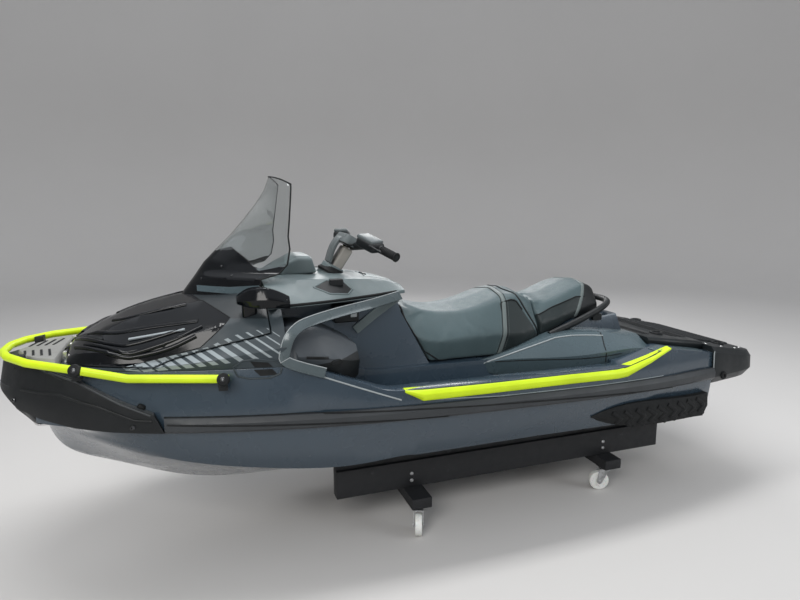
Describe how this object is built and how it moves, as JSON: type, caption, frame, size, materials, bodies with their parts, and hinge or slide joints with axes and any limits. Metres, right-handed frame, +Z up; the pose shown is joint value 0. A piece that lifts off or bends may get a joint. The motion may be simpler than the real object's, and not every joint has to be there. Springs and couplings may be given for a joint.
{
  "type": "personal watercraft on a wheeled dolly",
  "caption": "Three-seat personal watercraft with jet drive, tall windshield, bow rail and stern platform, standing on a two-beam dolly with swivel casters.",
  "frame": {"origin": "on the floor, under the middle of the overall length and beam", "axes": "+X towards the bow, +Y to port, +Z up"},
  "size_m": [3.7263, 1.2548, 1.626],
  "materials": {
    "hull_gelcoat": "gloss slate blue-grey, moulded",
    "deck_gelcoat": "satin grey",
    "gloss_black": "gloss black",
    "black_plastic": "satin moulded black",
    "grey_plastic": "satin grey",
    "light_grey_plastic": "satin pale grey",
    "lime_pad": "satin lime",
    "seat_vinyl": "marine vinyl",
    "mat_rubber": "ribbed foam mat",
    "rubber": "rubber",
    "smoked_screen": "smoked clear",
    "cast_aluminium": "cast",
    "stainless": "brushed stainless",
    "galvanised": "zinc plated",
    "nylon": "white nylon",
    "beam_paint": "matt black paint",
    "engine_metal": "dark casting"
  },
  "bodies": {
    "craft": {"hull": "hull_gelcoat", "engine_block": "engine_metal", "deck": "hull_gelcoat", "bow_bumper": "black_plastic", "rub_bands": "black_plastic", "bow_cowl": "deck_gelcoat", "hood_hinge": "stainless", "bow_cap": "light_grey_plastic", "storage_bin": "black_plastic", "console": "grey_plastic", "gauge": "gloss_black", "driver_seat": "seat_vinyl", "passenger_seat": "seat_vinyl", "grab_rail": "black_plastic", "seat_wings": "deck_gelcoat", "gunwale_pads": "lime_pad", "footwell_frames": "light_grey_plastic", "leg_deflectors": "black_plastic", "footwell_mats": "mat_rubber", "rear_deck": "black_plastic", "platform_extension": "black_plastic", "cargo_anchors": "black_plastic", "platform_mat": "mat_rubber", "sponsons": "black_plastic", "ride_plate": "cast_aluminium", "intake_grate": "cast_aluminium", "jet_pump": "cast_aluminium", "ladder_brackets": "stainless", "tow_eyes": "stainless", "bow_rail": "lime_pad", "rail_clamps": "black_plastic", "dolly_beams": "beam_paint", "dolly_bars": "beam_paint"},
    "hood": {"hood_lid": "gloss_black", "windshield": "smoked_screen", "windshield_mask": "gloss_black", "mirrors": "gloss_black"},
    "glovebox": {"glovebox_lid": "grey_plastic"},
    "steering": {"steering_column": "black_plastic", "handlebar": "black_plastic", "grips": "rubber", "levers": "black_plastic", "bar_pad": "light_grey_plastic"},
    "nozzle": {"steering_nozzle": "cast_aluminium"},
    "bucket": {"reverse_bucket": "black_plastic"},
    "impeller": {"impeller": "stainless"},
    "ladder": {"boarding_ladder": "stainless"},
    "swivel_front_port": {"caster_fork_front_port": "galvanised"},
    "wheel_front_port": {"caster_wheel_front_port": "nylon"},
    "swivel_front_starboard": {"caster_fork_front_starboard": "galvanised"},
    "wheel_front_starboard": {"caster_wheel_front_starboard": "nylon"},
    "swivel_rear_port": {"caster_fork_rear_port": "galvanised"},
    "wheel_rear_port": {"caster_wheel_rear_port": "nylon"},
    "swivel_rear_starboard": {"caster_fork_rear_starboard": "galvanised"},
    "wheel_rear_starboard": {"caster_wheel_rear_starboard": "nylon"}
  },
  "joints": [
    {"name": "hood_hinge", "type": "hinge", "parent": "craft", "child": "hood", "pos_m": [1.584, 0, 0.915], "axis": [0, 1, 0], "range_deg": [0, 50]},
    {"name": "glovebox_hinge", "type": "hinge", "parent": "craft", "child": "glovebox", "pos_m": [0.158, 0, 1.12], "axis": [0, -1, 0], "range_deg": [0, 75]},
    {"name": "steering_turn", "type": "hinge", "parent": "craft", "child": "steering", "pos_m": [0.446, 0, 1.176], "axis": [-0.5, 0, 0.866], "range_deg": [-25, 25]},
    {"name": "nozzle_turn", "type": "hinge", "parent": "craft", "child": "nozzle", "pos_m": [-1.455, 0, 0.33], "axis": [0, 0, 1], "range_deg": [-17.5, 17.5]},
    {"name": "bucket_swing", "type": "hinge", "parent": "nozzle", "child": "bucket", "pos_m": [-1.48, 0, 0.33], "axis": [0, -1, 0], "range_deg": [0, 70]},
    {"name": "impeller_spin", "type": "hinge", "parent": "craft", "child": "impeller", "pos_m": [-1.09, 0, 0.33], "axis": [1, 0, 0], "continuous": true},
    {"name": "ladder_swing", "type": "hinge", "parent": "craft", "child": "ladder", "pos_m": [-1.815, 0, 0.524], "axis": [0, 1, 0], "range_deg": [0, 95]},
    {"name": "swivel_turn_front_port", "type": "hinge", "parent": "craft", "child": "swivel_front_port", "pos_m": [0.15, 0.43, 0.118], "axis": [0, 0, 1], "continuous": true},
    {"name": "wheel_spin_front_port", "type": "hinge", "parent": "swivel_front_port", "child": "wheel_front_port", "pos_m": [0.16434, 0.46734, 0.05], "axis": [-0.9336, 0.3584, 0], "continuous": true},
    {"name": "swivel_turn_front_starboard", "type": "hinge", "parent": "craft", "child": "swivel_front_starboard", "pos_m": [0.15, -0.43, 0.118], "axis": [0, 0, 1], "continuous": true},
    {"name": "wheel_spin_front_starboard", "type": "hinge", "parent": "swivel_front_starboard", "child": "wheel_front_starboard", "pos_m": [0.16434, -0.46734, 0.05], "axis": [0.9336, 0.3584, 0], "continuous": true},
    {"name": "swivel_turn_rear_port", "type": "hinge", "parent": "craft", "child": "swivel_rear_port", "pos_m": [-0.93, 0.396, 0.118], "axis": [0, 0, 1], "continuous": true},
    {"name": "wheel_spin_rear_port", "type": "hinge", "parent": "swivel_rear_port", "child": "wheel_rear_port", "pos_m": [-0.89266, 0.38166, 0.05], "axis": [0.3584, 0.9336, 0], "continuous": true},
    {"name": "swivel_turn_rear_starboard", "type": "hinge", "parent": "craft", "child": "swivel_rear_starboard", "pos_m": [-0.93, -0.396, 0.118], "axis": [0, 0, 1], "continuous": true},
    {"name": "wheel_spin_rear_starboard", "type": "hinge", "parent": "swivel_rear_starboard", "child": "wheel_rear_starboard", "pos_m": [-0.89266, -0.38166, 0.05], "axis": [-0.3584, 0.9336, 0], "continuous": true}
  ],
  "couplings": [
    {"joint": "nozzle_turn", "follows": "steering_turn", "ratio": -0.7}
  ]
}
